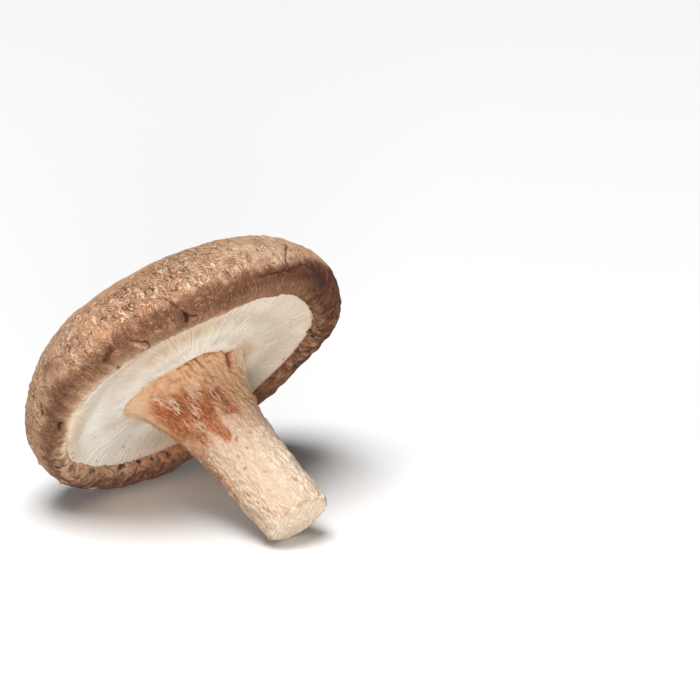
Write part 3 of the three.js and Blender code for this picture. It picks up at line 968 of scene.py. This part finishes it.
def fibres(name, point_of, turn, run, radius, heading, length, curl, width, rise):
    """Tapered threads that start at turn, a direction, and run, the way along the surface in millimetres."""
    share = np.linspace(0, 1, FIBRE_RINGS)
    angle = heading[:, None] + curl[:, None] * (share - 0.5)
    step = length[:, None] / (FIBRE_RINGS - 1)
    over = np.cumsum(np.cos(angle) * step, 1)
    on = np.cumsum(np.sin(angle) * step, 1)
    taper = (0.15 + 0.85 * np.sin(math.pi * (0.1 + 0.85 * share)) ** 0.7) * width[:, None]
    lift = rise[:, None] * share ** 2
    corners = []
    for offset, height in ((-0.5, -0.12), (0.5, -0.12), (0, 0.55)):
        corner_turn = turn[:, None] + (over - np.sin(angle) * offset * taper) / radius
        corner_run = run[:, None] + on + np.cos(angle) * offset * taper
        places, _ = point_of(corner_turn.ravel(), corner_run.ravel(), (lift + height * taper).ravel())
        corners.append(places.reshape(len(turn), FIBRE_RINGS, 3))
    parts = np.stack(corners, 2).reshape(len(turn), FIBRE_RINGS * 3, 3)
    faces = [(0, 1, 2), (FIBRE_RINGS * 3 - 1, FIBRE_RINGS * 3 - 2, FIBRE_RINGS * 3 - 3)]
    for ring in range(0, (FIBRE_RINGS - 1) * 3, 3):
        faces += [(ring + i, ring + (i + 1) % 3, ring + 3 + (i + 1) % 3, ring + 3 + i) for i in range(3)]
    piece = joined(name, parts, faces)
    bpy.ops.object.mode_set(mode="EDIT")
    bpy.ops.mesh.select_all(action="SELECT")
    bpy.ops.mesh.normals_make_consistent(inside=False)
    bpy.ops.object.mode_set(mode="OBJECT")
    painted(piece, shade=np.repeat(chance.uniform(0, 1, len(turn)), FIBRE_RINGS * 3))
    return piece


def thread_finish(name, low_colour, high_colour):
    look = Finish(name, roughness=0.8, subsurface=0.1, reach=0.8)
    grain = look.grain(0.5, 2)
    pale = (look.area("shade") * 0.8 + grain * 0.4).step(0.15, 1.0)
    look.tint = look.mix(pale, low_colour, high_colour)
    return look.done(grain, 0.08)


def spread(count, low, high):
    return chance.uniform(low, high, count)


NEAR_FIBRES = 200  # on the side that faces up and to the front
OTHER_FIBRES = 120
# Tufts that stand up from the margin: direction in degrees, past the widest line, how many threads.
TUFTS = ((-130.5, 4.3, 7), (-152.5, -0.9, 4), (169.5, -4.5, 5), (-140, 3.6, 4), (140, -10, 3),
         (-95, 4.0, 5), (-40, -2, 4), (-115, 5, 4))
turn = [spread(NEAR_FIBRES, 0.9, 2.9), spread(OTHER_FIBRES, -math.pi, math.pi)]
run = [spread(NEAR_FIBRES + OTHER_FIBRES, -12, -1)]
rise = [spread(NEAR_FIBRES + OTHER_FIBRES, -0.14, 0.0)]
for middle, place, count in TUFTS:
    turn.append(math.radians(middle) + chance.normal(0, 0.008, count))
    run.append(place + chance.normal(0, 0.25, count))
    rise.append(spread(count, 0.15, 0.75))
turn, run, rise = np.concatenate(turn), EQUATOR + np.concatenate(run), np.concatenate(rise)
count = len(turn)
skin_fibres = fibres(
    "skin_fibres", cap_point, turn, run, radius=CAP_RADIUS,
    heading=math.pi / 2 + spread(count, -1.2, 1.2), length=spread(count, 0.5, 1.4),
    curl=spread(count, -2.0, 2.0), width=spread(count, 0.12, 0.24), rise=rise)
THREAD_TAN = colour(186, 142, 110)
THREAD_PALE = colour(216, 176, 142)
skin_fibres.data.materials.append(thread_finish("skin threads", THREAD_TAN, THREAD_PALE))
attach(skin_fibres, "root")
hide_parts("shiitake_mushroom")


# Bunches of pale fibres on the rust brown part: direction in degrees, place along the stem, how many.
BUNCHES = ((134, 5.2, 11), (146, 7.6, 5), (154, 10.5, 8), (168, 2.9, 6), (162, 5.0, 6), (102, 6.1, 6),
           (-60, 7, 20), (-110, 9, 20), (-20, 10, 16))
STALK_FIBRES = 240
turn = [spread(STALK_FIBRES, -math.pi, math.pi)]
run = [spread(STALK_FIBRES, 14, STEM_LENGTH - 3)]
for middle, place, count in BUNCHES:
    turn.append(math.radians(middle) + chance.normal(0, 0.12, count))
    run.append(place + chance.normal(0, 0.9, count))
turn, run = np.concatenate(turn), np.concatenate(run)
count = len(turn)
# The threads of the bare stalk are shorter and finer than the bunches.
size = np.where(np.arange(count) < STALK_FIBRES, 0.6, 1)
stem_fibres = fibres(
    "stem_fibres", stem_point, turn, run, radius=STEM_TOP_RADIUS,
    heading=math.pi / 2 + spread(count, -0.4, 0.4), length=size * spread(count, 1.2, 3.4),
    curl=spread(count, -1.6, 1.6), width=size * spread(count, 0.16, 0.4), rise=spread(count, -0.24, -0.05))
BARK_TAN = colour(194, 158, 128)
BARK_PALE = colour(213, 188, 163)
stem_fibres.data.materials.append(thread_finish("stem threads", BARK_TAN, BARK_PALE))
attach(stem_fibres, "root")
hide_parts("shiitake_mushroom")

# ------------------------
# The studio: a pale table, a large soft light overhead and a weaker one in front, and the camera.
TABLE_SIZE = 6
TABLE_DROP = 0.00002  # keeps it just clear of the flats that rest on it
TABLE_GREY = (0.5, 0.5, 0.5, 1)
TABLE_SEEN = (0.8, 0.8, 0.8, 1)  # its colour to the camera
WORLD_LIGHT = 0.07
WORLD_SEEN = 1.0  # its strength to the camera
VIEW_TURN = math.radians(39.12)
VIEW_RISE = math.radians(20.36)
VIEW_DISTANCE = 0.7
VIEW_LENS = 189.5
AIM_RIGHT = 29.88  # the middle of the view, from the middle of the gill face, in millimetres
AIM_UP = 5.05

bpy.ops.mesh.primitive_plane_add(size=TABLE_SIZE, location=(0, 0, -TABLE_DROP))
table = bpy.context.object
table.name = "table"
table.data.transform(table.matrix_world)
table.matrix_world.identity()
paper = bpy.data.materials.new("white table")
table.data.materials.append(paper)


def seen(nodes):
    """1 for what the camera sees, also through gloss and glass, and 0 for light that falls on things."""
    share = 0
    for kind in ("Camera", "Glossy", "Transmission"):
        ray = nodes.node("ShaderNodeLightPath", {}, {}, f"Is {kind} Ray")
        share = nodes.node("ShaderNodeMath", {"operation": "MAXIMUM"}, {0: share, 1: ray})
    return share


paint = Nodes(paper, "Principled BSDF", {"Roughness": 1.0, "Specular IOR Level": 0.0})
feed(paint.last, {"Base Color": paint.mix(seen(paint), TABLE_GREY, TABLE_SEEN)})

bpy.context.scene.world = bpy.data.worlds.new("studio")
air = Nodes(bpy.context.scene.world, "Background", {"Color": (1, 1, 1, 1)})
feed(air.last, {"Strength": seen(air) * (WORLD_SEEN - WORLD_LIGHT) + WORLD_LIGHT})


def softbox(name, place, size, watts):
    """A square lamp that faces the mushroom."""
    bpy.ops.object.light_add(type="AREA", location=place)
    lamp = bpy.context.object
    lamp.name = name
    lamp.data.size = size
    lamp.data.energy = watts
    lamp.rotation_euler = (-Vector(place)).to_track_quat("-Z", "Y").to_euler()


softbox("overhead light", (-1.1, -0.62, 3.8), size=2.0, watts=204)
softbox("front light", (-0.9, -1.2, 0.17), size=0.5, watts=22.3)

right = Vector((math.cos(VIEW_TURN), -math.sin(VIEW_TURN), 0))
lean = math.sin(VIEW_RISE)
rise = Vector((lean * math.sin(VIEW_TURN), lean * math.cos(VIEW_TURN), math.cos(VIEW_RISE)))
back = right.cross(rise)
aim = (Vector(GILL_CENTRE) + AIM_RIGHT * right + AIM_UP * rise) * MM
facing = back.to_track_quat("Z", "Y").to_euler()
bpy.ops.object.camera_add(location=aim + VIEW_DISTANCE * back, rotation=facing)
camera = bpy.context.object
camera.data.lens = VIEW_LENS
camera.data.sensor_width = 36
camera.data.clip_end = 20
bpy.context.scene.camera = camera
bpy.context.scene.view_settings.view_transform = "Standard"
